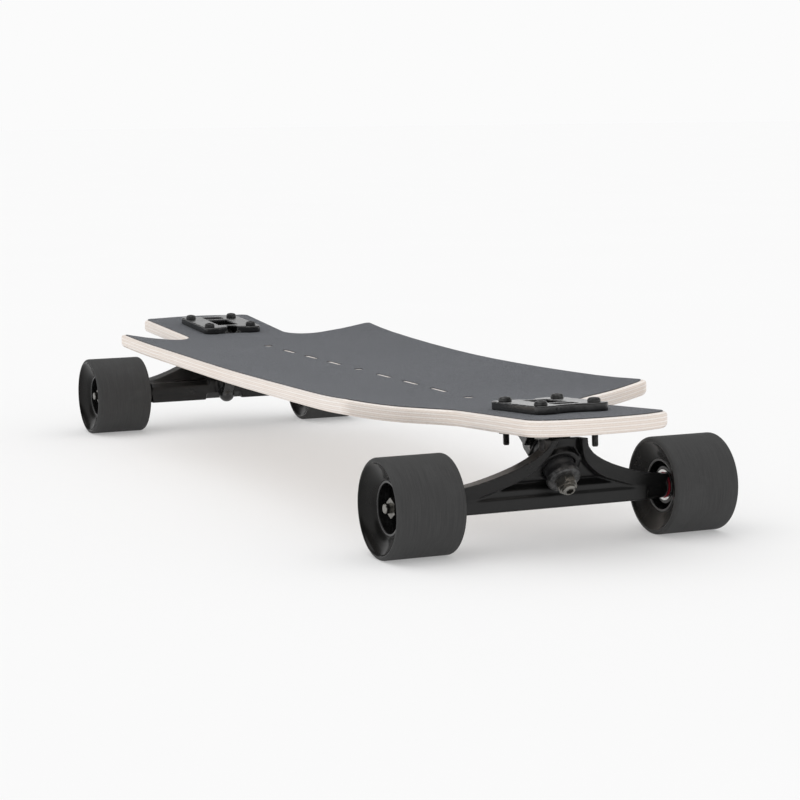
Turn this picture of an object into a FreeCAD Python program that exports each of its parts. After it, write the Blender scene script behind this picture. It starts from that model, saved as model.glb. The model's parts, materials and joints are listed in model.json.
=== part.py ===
"""A drop-through longboard: a laminated deck with grip tape, two reverse-kingpin trucks and four wheels.

Frame: millimetres, +X towards the front of the board, +Y to the rider's left, +Z up. The origin is on the
ground, below the middle of the board. The board is the same at both ends, so the rear truck is the front
one turned half round about Z.
"""
import FreeCAD, Part
import math
import os

V = FreeCAD.Vector

# Driving dimensions of the whole board
WHEELBASE = 677.2          # axle to axle
WHEEL_R = 35.0             # 70 mm wheel
TRUCK_TILT = 3.57          # the deck ramps up by this many degrees at each truck

# Deck
PLY_COUNT = 8
PLY = 1.4
DECK_THICK = PLY_COUNT * PLY
GRIP_THICK = 0.6
MID_TOP = 88.5             # height of the standing surface in the middle of the board
RAMP_START, RAMP_END = 190.0, 300.0
RAMP_SLOPE = math.tan(math.radians(TRUCK_TILT))
WAIST_HALF = 115.0         # half width in the middle
WING_X, WING_HALF = 257.0, 124.0
EDGE_RISE_MID, EDGE_RISE_WING, EDGE_RISE_POWER = 5.9, 5.5, 1.7
CONCAVE_POWER = 2.0
FLAT_HALF = 30.0           # half width of the strip along the middle that isn't hollowed
MARKS, MARK_PITCH, DOT_EVERY = 9, 52.0, 4
DOT_R, DASH_HALF_L, DASH_HALF_W, DASH_CORNER = 4.2, 14.0, 2.2, 1.8
NECK_X, NECK_HALF, NECK_FILLET = 296.0, 51.0, 28.0
TAIL_HALF, TAIL_CORNER, TAIL_X, TAIL_BULGE = 55.0, 12.0, 412.0, 7.0
EDGE_ROUND = 3.2

# Truck, in its own frame: origin at the axle's centre, +X away from the board's middle, baseplate level
MOUNT_Z = 59.28            # underside of the baseplate flange, above the axle
BOLT_X0 = 1.46             # middle of the bolt pattern
BOLT_DX, BOLT_DY = 53.8, 41.3
AXIS_DEG = 45.0            # steering axis, above the horizontal
RING_X, RING_Z = 9.5, 23.5

FLANGE_L, FLANGE_W, FLANGE_T = 76.0, 56.0, 6.0
FLANGE_CORNER = 6.0
SCOOP_R, SCOOP_DEPTH, SCOOP_HALF = 26.0, 5.0, 18.0
SHOULDER_HALF = 17.5       # half width of the baseplate body inside the deck's cut-out
CUT_GAP = 1.0              # room between that body and the deck
NECKED_HALF = 13.5
POCKET_HALF = 9.0
BACK_HALF, ARM_HALF = 10.5, 5.0
CUP_R, NUB_R = 5.9, 4.4
HOUSING_R = 7.4
CUP_CLEARANCE = 0.05
NUB_TIP = -13.3            # centre of the pivot's round tip, along the steering axis from the axle
CUP_MOUTH = -8.8
NOTCH_FLOOR = -8.0

KINGPIN_R = 4.76
BUSH_R, BUSH_WAIST_R = 11.4, 10.6
RING_R, RING_HALF, WEB_HALF = 16.0, 5.0, 2.5
ROAD_BUSH, BOARD_BUSH = 13.0, 14.0
WASHER_R, WASHER_T = 11.9, 1.5
KP_NUT_AF, KP_NUT_H = 13.0, 7.4
KP_TIP = 26.8              # end of the kingpin beyond the ring's centre
KP_HEAD_SEAT = -28.0
KP_HEAD_H = 5.0

HANGER_HALF = 90.0
ARM_LEAN = 30.0            # the arms lean outboard by this many degrees
ARM_BACK, ARM_DEPTH = 6.0, 14.5
WEB_DEPTH = 6.0
AXLE_R, AXLE_HALF = 4.0, 127.0
AXLE_TIP_R, AXLE_SHOULDER = 3.5, 122.6

# Wheel, across the board from the hanger's end
WHEEL_IN, WHEEL_OUT = 81.1, 132.5
CORE_R = 19.5
CORE_IN, CORE_OUT = 88.1, 124.5
CORE_WALL = 2.4
HUB_R = 13.4
BEARING_R, BEARING_W = 11.0, 7.0
SPEED_WASHER_T = 1.0
SPACER_L = 10.0
BALL_R, PITCH_R, BALLS = 1.98, 7.8, 7
GROOVE_R = 2.10
INNER_RACE_R, OUTER_RACE_R = 6.4, 9.3
SPOKES, SPOKE_W = 5, 5.0
NUT_AF, NUT_H = 12.7, 6.4

# Mounting hardware
SCREW_R, SCREW_L = 2.4, 31.0
SCREW_HOLE_R = 2.8
SCREW_HEAD_R, SCREW_HEAD_H = 4.7, 3.1
SCREW_NUT_AF, SCREW_NUT_H = 9.5, 5.0
SOCKET_AF, SOCKET_DEPTH = 3.2, 1.8

X, Y, Z = V(1, 0, 0), V(0, 1, 0), V(0, 0, 1)
ORIGIN = V(0, 0, 0)
STEER = V(math.cos(math.radians(AXIS_DEG)), 0, math.sin(math.radians(AXIS_DEG)))
PIN = V(math.sin(math.radians(AXIS_DEG)), 0, -math.cos(math.radians(AXIS_DEG)))
RING = V(RING_X, 0, RING_Z)


# ---------------------------------------------------------------- small helpers

def along(axis, distance, start=ORIGIN):
    """The point that far from start along an axis."""
    return start + axis * distance


def rod(radius, start, end, axis, base=ORIGIN):
    """A cylinder along axis, from start to end measured from base."""
    return Part.makeCylinder(radius, end - start, along(axis, start, base), axis)


def tube(outer, inner, start, end, axis, base=ORIGIN):
    """A rod with a round bore."""
    return rod(outer, start, end, axis, base).cut(rod(inner, start - 1, end + 1, axis, base))


def prism(points, direction):
    """A solid swept along direction from a closed flat outline."""
    return Part.Face(Part.makePolygon(points + [points[0]])).extrude(direction)


def hexagon(flats, start, end, axis, base=ORIGIN):
    """A hexagonal prism along axis, with two corners on the Y axis, or on Z if it lies along Y."""
    side = Y if abs(axis.dot(Y)) < 0.5 else Z
    other = axis.cross(side)
    r = flats / math.sqrt(3)
    corners = [along(axis, start, base) + side * (r * math.cos(math.radians(60 * i)))
               + other * (r * math.sin(math.radians(60 * i))) for i in range(6)]
    return prism(corners, axis * (end - start))


def hex_nut(flats, start, end, axis, base, bore):
    """A hexagonal nut with chamfered corners on both faces."""
    height = end - start
    body = hexagon(flats, start, end, axis, base)
    taper = 0.5
    rim = flats / math.sqrt(3) - taper * 0.6
    limit = Part.makeCone(rim, rim + height * 2, height * 2, along(axis, start, base), axis)
    back = Part.makeCone(rim, rim + height * 2, height * 2, along(axis, end, base), axis * -1)
    return body.common(limit).common(back).cut(rod(bore, start - 1, end + 1, axis, base))


def ring_of(profile, axis_point, axis):
    """A solid of revolution. profile is [(distance along the axis, radius)] as a closed outline."""
    side = Y if abs(axis.dot(Y)) < 0.5 else Z
    points = [axis_point + axis * a + side * r for a, r in profile]
    face = Part.Face(Part.makePolygon(points + [points[0]]))
    return face.revolve(axis_point, axis, 360)


def arc3(a, b, c):
    return Part.Arc(a, b, c).toShape()


def round_ended(radius, tip, mouth, axis, base):
    """A rod along axis. Its low end is a half ball centred tip from base, and its flat end is at mouth."""
    side = Y if abs(axis.dot(Y)) < 0.5 else Z
    centre, top = along(axis, tip, base), along(axis, mouth, base)
    pole, brim = centre - axis * radius, centre + side * radius
    cheek = centre + (side - axis) * (radius * math.sqrt(0.5))
    edges = [arc3(pole, cheek, brim), Part.makeLine(brim, top + side * radius),
             Part.makeLine(top + side * radius, top), Part.makeLine(top, pole)]
    return Part.Face(Part.Wire(edges)).revolve(top, axis, 360)


def rounded_box(x0, x1, y0, y1, z0, z1, radius):
    box = Part.makeBox(x1 - x0, y1 - y0, z1 - z0, V(x0, y0, z0))
    return box.makeFillet(radius, [e for e in box.Edges if abs(e.tangentAt(e.FirstParameter).z) > 0.9])


def save(name, *shapes):
    """Writes one node's STEP file, which may hold several separate solids."""
    solids = [s for shape in shapes for s in shape.Solids]
    for s in solids:
        assert s.isValid() and s.Volume > 0, name
    whole = solids[0] if len(solids) == 1 else Part.makeCompound(solids)
    whole.exportStep("parts/" + name + ".step")


# ---------------------------------------------------------------- deck

def centre_height(x):
    """Height of the standing surface on the centreline: flat, then a ramp with a curved foot."""
    run = abs(x)
    if run <= RAMP_START:
        return MID_TOP
    bend = RAMP_END - RAMP_START
    if run <= RAMP_END:
        return MID_TOP + (run - RAMP_START) ** 2 / bend * RAMP_SLOPE / 2
    return MID_TOP + bend * RAMP_SLOPE / 2 + (run - RAMP_END) * RAMP_SLOPE


def top_height(x, y):
    """Height of the standing surface, with the raised edges of the concave."""
    share = min(abs(x), WING_X) / 250.0
    half = WAIST_HALF + (WING_HALF - WAIST_HALF) * (min(abs(x), WING_X) / WING_X) ** 2
    rise = EDGE_RISE_MID + EDGE_RISE_WING * share ** EDGE_RISE_POWER
    outwards = max(0.0, abs(y) - FLAT_HALF) / (half - FLAT_HALF)
    return centre_height(x) + rise * outwards ** CONCAVE_POWER


def deck_layer(lift, thickness):
    """A curved slab larger than the board, whose underside is lift below the standing surface."""
    xs = [-450 + 25 * i for i in range(37)]
    ys = [-140 + 20 * i for i in range(15)]
    sheet = Part.BSplineSurface()
    sheet.interpolate([[V(x, y, top_height(x, y) - lift) for y in ys] for x in xs])
    return sheet.toShape().extrude(Z * thickness)


def quarter_corners(inset=0.0):
    """The plan outline's named points in the +X +Y quarter, moved inwards by inset."""
    return {
        "waist": V(0, WAIST_HALF - inset, 0),
        "wing_side": V(WING_X - 1.5 - inset, WING_HALF - 0.2 - inset, 0),
        "wing_tip": V(WING_X + 3.6 - inset, WING_HALF - 2.0 - inset, 0),
        "wing_back": V(WING_X + 5.6 - inset, WING_HALF - 7.0 - inset, 0),
        "fillet_start": V(NECK_X - NECK_FILLET - inset, NECK_HALF + NECK_FILLET, 0),
        "fillet_mid": V(NECK_X - (NECK_FILLET + inset) * math.sqrt(0.5),
                        NECK_HALF + NECK_FILLET - (NECK_FILLET + inset) * math.sqrt(0.5), 0),
        "fillet_end": V(NECK_X, NECK_HALF - inset, 0),
        "tail_side": V(TAIL_X - TAIL_CORNER, TAIL_HALF - inset, 0),
        "tail_mid": V(TAIL_X - TAIL_CORNER + (TAIL_CORNER - inset) * math.sqrt(0.5),
                      TAIL_HALF - TAIL_CORNER + (TAIL_CORNER - inset) * math.sqrt(0.5), 0),
        "tail_end": V(TAIL_X - inset, TAIL_HALF - TAIL_CORNER, 0),
        "nose": V(TAIL_X + TAIL_BULGE - inset, 0, 0),
    }


def plan_wire(inset=0.0):
    """The board's outline seen from above, as one closed wire."""
    q = quarter_corners(inset)

    def at(name, sx, sy):
        return V(q[name].x * sx, q[name].y * sy, 0)

    edges = []
    for sy in (1, -1):
        edges.append(arc3(at("wing_side", 1, sy), at("waist", 1, sy), at("wing_side", -1, sy)))
    for sx in (1, -1):
        edges.append(arc3(at("tail_end", sx, 1), at("nose", sx, 1), at("tail_end", sx, -1)))
        for sy in (1, -1):
            edges.append(arc3(at("wing_side", sx, sy), at("wing_tip", sx, sy), at("wing_back", sx, sy)))
            edges.append(Part.makeLine(at("wing_back", sx, sy), at("fillet_start", sx, sy)))
            bend = [at(name, sx, sy) for name in ("fillet_start", "fillet_mid", "fillet_end")]
            edges.append(arc3(*bend))
            edges.append(Part.makeLine(at("fillet_end", sx, sy), at("tail_side", sx, sy)))
            edges.append(arc3(at("tail_side", sx, sy), at("tail_mid", sx, sy), at("tail_end", sx, sy)))
    return Part.Wire(Part.__sortEdges__(edges))


def plan_prism(inset=0.0):
    return Part.Face(plan_wire(inset)).extrude(Z * 200)


def truck_cutout(gap):
    """The hole in the deck that the baseplate's body drops through, in the truck's frame."""
    wide = rounded_box(-17 - gap, 20 + gap, -SHOULDER_HALF - gap, SHOULDER_HALF + gap, 30, 90, 3.0)
    slim = rounded_box(-33 - gap, 27 + gap, -NECKED_HALF - gap, NECKED_HALF + gap, 30, 90, 3.0)
    return wide.fuse(slim)


def screw_positions():
    return [(BOLT_X0 + sx * BOLT_DX / 2, sy * BOLT_DY / 2) for sx in (1, -1) for sy in (1, -1)]


def deck_holes():
    """Both trucks' cut-outs and screw holes, in the board's frame."""
    tools = [truck_cutout(CUT_GAP)]
    tools += [rod(SCREW_HOLE_R, 30, 90, Z, V(x, y, 0)) for x, y in screw_positions()]
    return [place(t, end) for t in tools for end in (1, -1)]


def grip_perforations():
    """A row of small dots and dashes cut through the grip tape along the centreline."""
    low, high = MID_TOP - 20, MID_TOP + 20
    tools = []
    for i in range(MARKS):
        x = (i - (MARKS - 1) / 2) * MARK_PITCH
        if i % DOT_EVERY == 0:
            tools.append(rod(DOT_R, low, high, Z, V(x, 0, 0)))
        else:
            tools.append(rounded_box(x - DASH_HALF_L, x + DASH_HALF_L, -DASH_HALF_W, DASH_HALF_W, low, high,
                                     DASH_CORNER))
    return tools


def make_deck():
    slab = deck_layer(GRIP_THICK + DECK_THICK, DECK_THICK)
    board = slab.common(plan_prism())
    for tool in deck_holes():
        board = board.cut(tool)
    return board


def make_grip():
    sheet = deck_layer(GRIP_THICK, GRIP_THICK).common(plan_prism(EDGE_ROUND))
    for tool in deck_holes() + grip_perforations():
        sheet = sheet.cut(tool)
    return sheet


# ---------------------------------------------------------------- truck

def place(shape, end):
    """A truck piece put at the front (1) or rear (-1) of the board."""
    placed = shape.copy()
    placed.rotate(ORIGIN, Y, -TRUCK_TILT)
    placed.translate(V(WHEELBASE / 2, 0, WHEEL_R))
    if end < 0:
        placed.rotate(ORIGIN, Z, 180)
    return placed


def flange():
    """The baseplate's flat top, with scooped ends and two windows."""
    x0, x1 = BOLT_X0 - FLANGE_L / 2, BOLT_X0 + FLANGE_L / 2
    half = FLANGE_W / 2
    plate = rounded_box(x0, x1, -half, half, MOUNT_Z, MOUNT_Z + FLANGE_T, FLANGE_CORNER)
    for x in (x0 - SCOOP_R + SCOOP_DEPTH, x1 + SCOOP_R - SCOOP_DEPTH):
        strip = Part.makeBox(4 * SCOOP_R, 2 * SCOOP_HALF, 2 * MOUNT_Z, V(x - 2 * SCOOP_R, -SCOOP_HALF, 0))
        plate = plate.cut(rod(SCOOP_R, MOUNT_Z - 1, MOUNT_Z + FLANGE_T + 1, Z, V(x, 0, 0)).common(strip))
    for x, y in screw_positions():
        plate = plate.cut(rod(SCREW_HOLE_R, MOUNT_Z - 1, MOUNT_Z + FLANGE_T + 1, Z, V(x, y, 0)))
    return plate


def body_profile(half, points):
    """A block of the baseplate: a side outline in X and Z, 2 * half wide."""
    return prism([V(x, -half, z) for x, z in points], Y * (2 * half))


def in_truck(s, k):
    """X and Z of the point s along the steering axis and k along the kingpin from the ring's centre."""
    p = RING + STEER * s + PIN * k
    return (p.x, p.z)


def baseplate_body():
    """The block that drops through the deck, its bushing seat and the arm down to the pivot cup."""
    seat = -BOARD_BUSH - WEB_HALF - WASHER_T
    top = MOUNT_Z + 0.5
    shoulders = body_profile(SHOULDER_HALF, [(-17, top), (20, top), (20, 49.5), (12.5, 48),
                                             in_truck(13.9, seat - 0.8), in_truck(-2, seat), (-12, 40),
                                             (-17, 45)])
    spine = body_profile(NECKED_HALF, [(-33, top), (27, top), (24, 51), in_truck(13.9, seat - 0.8),
                                       (-12, 40), (-22.5, 40), (-25, 46.5), (-33, 48)])
    back = body_profile(BACK_HALF, [(-24.5, 48), (6, 48), in_truck(8, seat), in_truck(-13.5, seat),
                                    in_truck(-15, -27)])
    seat_boss = rod(13.0, seat - 8, seat, PIN, RING)
    arm = body_profile(ARM_HALF, [in_truck(-10, seat - 1), in_truck(-13.5, seat), in_truck(-24, -15.5),
                                  in_truck(-32.1, -10.5), in_truck(-32.1, -3), in_truck(-38, -5),
                                  in_truck(-36, -14), in_truck(-24, -23), in_truck(-12, -29.5)])
    axle_on_axis = along(STEER, -RING.dot(STEER), RING)
    housing = round_ended(HOUSING_R, NUB_TIP, CUP_MOUTH, STEER, axle_on_axis)
    return shoulders.fuse([spine, back, seat_boss, arm, housing]).removeSplitter()


def baseplate_pockets():
    """Tools that hollow the body: top pocket, front window, the kingpin's bore and the cup's seat."""
    high = MOUNT_Z + FLANGE_T + 1
    seat = KP_HEAD_SEAT
    pocket = prism([V(x, -POCKET_HALF, z) for x, z in
                    [(-20, high), (12, high), (12, 57), in_truck(14, seat), in_truck(-8.5, seat),
                     (-20, 44)]],
                   Y * (2 * POCKET_HALF))
    window = rounded_box(17, 29, -8.5, 8.5, 52, high, 2.0)
    bore = rod(KINGPIN_R + 0.15, -60, 0, PIN, RING)
    axle_on_axis = along(STEER, -RING.dot(STEER), RING)
    cup = round_ended(CUP_R, NUB_TIP, CUP_MOUTH + 5, STEER, axle_on_axis)
    return [pocket, window, bore, cup]


def make_baseplate():
    plate = flange().fuse(baseplate_body()).removeSplitter()
    for tool in baseplate_pockets():
        plate = plate.cut(tool)
    return plate


def make_pivot_cup():
    axle_on_axis = along(STEER, -RING.dot(STEER), RING)
    outside = round_ended(CUP_R, NUB_TIP, CUP_MOUTH, STEER, axle_on_axis)
    return outside.cut(round_ended(NUB_R + CUP_CLEARANCE, NUB_TIP, CUP_MOUTH + 1, STEER, axle_on_axis))


def make_kingpin():
    shank = rod(KINGPIN_R, KP_HEAD_SEAT, KP_TIP - 1, PIN, RING)
    end = Part.makeCone(KINGPIN_R, KINGPIN_R - 1, 1, along(PIN, KP_TIP - 1, RING), PIN)
    head = hexagon(KP_NUT_AF, KP_HEAD_SEAT - KP_HEAD_H, KP_HEAD_SEAT, PIN, RING)
    socket = hexagon(5.0, KP_TIP - 3, KP_TIP + 1, PIN, RING)
    return shank.fuse([end, head]).cut(socket).removeSplitter()


def bushing(start, end):
    """A barrel bushing round the kingpin, slightly waisted, with rounded shoulders."""
    span = end - start
    mid = (start + end) / 2
    profile = [(start, KINGPIN_R + 0.25), (start, BUSH_R - 1), (start + 1, BUSH_R),
               (start + span * 0.3, BUSH_R), (mid, BUSH_WAIST_R), (end - span * 0.3, BUSH_R),
               (end - 1, BUSH_R), (end, BUSH_R - 1), (end, KINGPIN_R + 0.25)]
    return ring_of(profile, RING, PIN)


def cup_washer(start, towards):
    """A washer with a shallow lip on the bushing's side. towards is 1 or -1 along the kingpin."""
    lip, wall, flare = 1.6, 1.0, 0.7
    a, b = start, start + towards * WASHER_T
    rim = WASHER_R + flare
    profile = [(a, KINGPIN_R + 0.2), (b, KINGPIN_R + 0.2), (b, WASHER_R - 1), (b - towards * 0.8, WASHER_R),
               (a - towards * lip, rim), (a - towards * lip, rim - wall), (a, BUSH_R + 0.05)]
    return ring_of(profile, RING, PIN)


def make_kingpin_nut():
    start = WEB_HALF + ROAD_BUSH + WASHER_T
    nut = hex_nut(KP_NUT_AF, start, start + KP_NUT_H * 0.75, PIN, RING, KINGPIN_R)
    collar = tube(KP_NUT_AF / 2 - 0.6, KINGPIN_R, start + KP_NUT_H * 0.75, start + KP_NUT_H, PIN, RING)
    return nut.fuse(collar)


def hanger_beam():
    """The straight bar round the axle, with slimmer round ends that reach into the wheels."""
    section = [(-9, -8.5), (9, -8.5), (10, -7.5), (10, 0.5), (9, 1.5), (9, 6), (5, 10), (-5, 10),
               (-9, 6), (-10, 0), (-10, -7)]
    bar = prism([V(x, -72, z) for x, z in section], Y * 144)
    ends = [Part.makeCone(9.6, 9.0, HANGER_HALF - 60, V(0, s * 60, 0), Y * s) for s in (1, -1)]
    return bar.fuse(ends)


def spline_edge(points):
    curve = Part.BSplineCurve()
    curve.interpolate(points)
    return curve.toShape()


def hanger_arms():
    """The two swept arms and the web between them, leaning outboard over the ring."""
    lean = math.tan(math.radians(ARM_LEAN))
    outer = [(88, 9.2), (74, 11), (62, 13.4), (50, 16.8), (38, 21), (28, 25.6), (20, 30.8), (15.5, 36),
             (14, 41)]
    inner = [(9, 41), (10.5, 35), (15, 26), (24, 17.5), (34, 11.5), (48, 6.5), (62, 2.5), (88, 0)]

    def flat(pairs, sign, shift):
        return [V(z * lean + shift, y * sign, z) for y, z in pairs]

    solids = []
    for sign in (1, -1):
        top = flat(outer, sign, -ARM_BACK)
        low = flat(inner, sign, -ARM_BACK)
        sides = [spline_edge(top), Part.makeLine(top[-1], low[0]), spline_edge(low),
                 Part.makeLine(low[-1], top[0])]
        solids.append(Part.Face(Part.Wire(Part.__sortEdges__(sides))).extrude(X * ARM_DEPTH))
    left, right = flat(outer[1:], 1, -ARM_BACK), flat(outer[1:], -1, -ARM_BACK)
    sides = [spline_edge(left), Part.makeLine(left[-1], right[-1]), spline_edge(right),
             Part.makeLine(left[0], right[0])]
    solids.append(Part.Face(Part.Wire(Part.__sortEdges__(sides))).extrude(X * WEB_DEPTH))
    return solids


def make_hanger():
    """Beam, arms, kingpin ring and pivot nub in one casting."""
    axle_on_axis = along(STEER, -RING.dot(STEER), RING)
    ring = rod(RING_R, -RING_HALF, RING_HALF, PIN, RING)
    shoulder = body_profile(15.0, [(-10, 2), (-10, 9), in_truck(-16, -RING_HALF), in_truck(0, -RING_HALF),
                                   in_truck(0, RING_HALF - 2), in_truck(-15, RING_HALF - 2), (9.5, -2)])
    neck = Part.makeCone(8.5, NUB_R + 1.2, 8.0, along(STEER, -0.5, axle_on_axis), STEER * -1)
    casting = hanger_beam().fuse(hanger_arms() + [ring, shoulder])
    hollow = [rod(BUSH_R + 0.4, WEB_HALF, 60, PIN, RING), rod(BUSH_R + 0.4, -60, -WEB_HALF, PIN, RING),
              rod(7.6, -60, 60, PIN, RING)]
    notch_low = along(STEER, NOTCH_FLOOR - 40, axle_on_axis)
    notch = Part.makeBox(80, 36, 40, V(-40, -18, 0))
    notch.rotate(ORIGIN, Y, 90 - AXIS_DEG)
    notch.translate(notch_low)
    for tool in hollow + [notch]:
        casting = casting.cut(tool)
    nub = round_ended(NUB_R, NUB_TIP, -4, STEER, axle_on_axis)
    casting = casting.fuse([neck.common(rod(20, NOTCH_FLOOR - 0.3, 3, STEER, axle_on_axis)), nub])
    casting = casting.cut(rod(AXLE_R, -HANGER_HALF - 1, HANGER_HALF + 1, Y))
    return casting.removeSplitter()


def make_axle():
    """An 8 mm axle, turned down to a pilot past each nut."""
    pilots = rod(AXLE_TIP_R, -AXLE_HALF, AXLE_HALF, Y)
    pilots = pilots.makeChamfer(0.5, [e for e in pilots.Edges if len(e.Vertexes) == 1])
    return rod(AXLE_R, -AXLE_SHOULDER, AXLE_SHOULDER, Y).fuse(pilots).removeSplitter()


def wheel_axle_stack():
    """Distances from the truck's middle of what is stacked on the axle: name to (start, end)."""
    stack = {}
    at = HANGER_HALF
    for name, length in (("washer_in", SPEED_WASHER_T), ("bearing_in", BEARING_W), ("spacer", SPACER_L),
                         ("bearing_out", BEARING_W), ("washer_out", SPEED_WASHER_T), ("nut", NUT_H)):
        stack[name] = (at, at + length)
        at += length
    return stack


STACK = wheel_axle_stack()


def make_screws():
    """Four socket screws through flange, grip and deck."""
    high = MOUNT_Z + FLANGE_T
    screws = []
    for x, y in screw_positions():
        base = V(x, y, 0)
        shank = rod(SCREW_R, high - SCREW_L, high + 0.5, Z, base)
        profile = [(high, 0.0), (high, SCREW_HEAD_R), (high + 0.9, SCREW_HEAD_R),
                   (high + 2.2, SCREW_HEAD_R - 0.9), (high + SCREW_HEAD_H, SCREW_HEAD_R - 2.4),
                   (high + SCREW_HEAD_H, 0.0)]
        head = ring_of(profile, base, Z)
        socket = hexagon(SOCKET_AF, high + SCREW_HEAD_H - SOCKET_DEPTH, high + 9, Z, base)
        screws.append(shank.fuse(head).cut(socket).removeSplitter())
    return screws


def make_screw_nuts():
    """Lock nuts against the deck's underside."""
    low = MOUNT_Z - GRIP_THICK - DECK_THICK
    return [hex_nut(SCREW_NUT_AF, low - SCREW_NUT_H, low - 0.35, Z, V(x, y, 0), SCREW_R)
            for x, y in screw_positions()]


# ---------------------------------------------------------------- wheels

def tyre_profile():
    """Half section of the urethane: (across the board, radius)."""
    return [(CORE_IN, CORE_R), (WHEEL_IN + 1.2, 30.6), (WHEEL_IN, 31.4), (WHEEL_IN, WHEEL_R - 2.6),
            (WHEEL_IN + 0.75, WHEEL_R - 0.75), (WHEEL_IN + 2.6, WHEEL_R), (WHEEL_OUT - 2.6, WHEEL_R),
            (WHEEL_OUT - 0.75, WHEEL_R - 0.75), (WHEEL_OUT, WHEEL_R - 2.6), (WHEEL_OUT, 32.2),
            (WHEEL_OUT - 1.2, 31.2), (WHEEL_OUT - 5.4, 24.6), (CORE_OUT, CORE_R)]


def make_tyre():
    return ring_of(tyre_profile(), ORIGIN, Y)


def make_core():
    """Rim, hub and spokes, with a bearing seat in each side."""
    hub_in, hub_out = STACK["bearing_in"][0], STACK["bearing_out"][1]
    rim = tube(CORE_R, CORE_R - CORE_WALL, CORE_IN, CORE_OUT, Y)
    hub = rod(HUB_R, hub_in + 0.4, hub_out - 0.4, Y)
    mid_in, mid_out = hub_in + 6, hub_out - 3
    spokes = []
    for i in range(SPOKES):
        bar = Part.makeBox(SPOKE_W, mid_out - mid_in, CORE_R - 7.5, V(-SPOKE_W / 2, mid_in, 6))
        bar.rotate(ORIGIN, Y, 360.0 / SPOKES * i)
        spokes.append(bar)
    core = rim.fuse([hub] + spokes)
    seats = [rod(BEARING_R, hub_in - 1, hub_in + BEARING_W, Y),
             rod(BEARING_R, hub_out - BEARING_W, hub_out + 1, Y)]
    for tool in seats + [rod(BEARING_R - 1.5, hub_in, hub_out, Y)]:
        core = core.cut(tool)
    return core.removeSplitter()


def race(inner, outer, start):
    """One bearing ring with its ball groove."""
    ring = tube(outer, inner, start, start + BEARING_W, Y)
    return ring.cut(Part.makeTorus(PITCH_R, GROOVE_R, V(0, start + BEARING_W / 2, 0), Y))


def make_balls():
    balls = []
    for name in ("bearing_in", "bearing_out"):
        mid = sum(STACK[name]) / 2
        for i in range(BALLS):
            turn = 2 * math.pi * i / BALLS
            balls.append(Part.makeSphere(BALL_R, V(PITCH_R * math.cos(turn), mid, PITCH_R * math.sin(turn))))
    return balls


def make_seals():
    """The thin rubber discs in both faces of both bearings."""
    gap, thick = 0.15, 0.6
    seals = []
    for name in ("bearing_in", "bearing_out"):
        for at in (STACK[name][0] + 0.2, STACK[name][1] - 0.2 - thick):
            seals.append(tube(OUTER_RACE_R, INNER_RACE_R + gap, at, at + thick, Y))
    return seals


def wheel_nodes():
    """The pieces of one wheel on the +Y end of an axle, by node name."""
    bearings = ("bearing_in", "bearing_out")
    return {
        "tyre": [make_tyre()],
        "wheel_core": [make_core()],
        "bearing_outer_races": [race(OUTER_RACE_R, BEARING_R, STACK[b][0]) for b in bearings],
        "bearing_seals": make_seals(),
        "bearing_balls": make_balls(),
        "bearing_inner_races": [race(AXLE_R, INNER_RACE_R, STACK[b][0]) for b in bearings],
        "bearing_spacer": [tube(5.2, AXLE_R, *STACK["spacer"], Y)],
    }


def truck_nodes():
    """The pieces of one truck, by node name."""
    washers = [tube(6.0, AXLE_R, *STACK[n], Y) for n in ("washer_in", "washer_out")]
    nuts = [hex_nut(NUT_AF, *STACK["nut"], Y, ORIGIN, AXLE_R)]
    both = washers + [w.mirror(ORIGIN, Y) for w in washers]
    return {
        "baseplate": [make_baseplate()],
        "pivot_cup": [make_pivot_cup()],
        "kingpin": [make_kingpin()],
        "boardside_washer": [cup_washer(-WEB_HALF - BOARD_BUSH, -1)],
        "boardside_bushing": [bushing(-WEB_HALF - BOARD_BUSH, -WEB_HALF)],
        "roadside_bushing": [bushing(WEB_HALF, WEB_HALF + ROAD_BUSH)],
        "roadside_washer": [cup_washer(WEB_HALF + ROAD_BUSH, 1)],
        "kingpin_nut": [make_kingpin_nut()],
        "hanger": [make_hanger()],
        "axle": [make_axle()],
        "speed_washers": both,
        "axle_nuts": nuts + [n.mirror(ORIGIN, Y) for n in nuts],
        "mounting_screws": make_screws(),
        "mounting_nuts": make_screw_nuts(),
    }


def main():
    os.makedirs("parts", exist_ok=True)
    save("deck", make_deck())
    save("grip_tape", make_grip())
    for node, shapes in truck_nodes().items():
        for end, word in ((1, "front"), (-1, "rear")):
            save(word + "_" + node, *[place(s, end) for s in shapes])
    for node, shapes in wheel_nodes().items():
        for side in (1, -1):
            sided = shapes if side > 0 else [s.mirror(ORIGIN, Y) for s in shapes]
            for end, word in ((1, "front"), (-1, "rear")):
                # turning the rear truck round swaps its left and right wheels
                hand = "left" if side * end > 0 else "right"
                save(word + "_" + hand + "_" + node, *[place(s, end) for s in sided])


main()
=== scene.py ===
import json
import math

import bmesh
import bpy
from mathutils import Matrix, Vector
from mathutils.geometry import delaunay_2d_cdt


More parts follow.
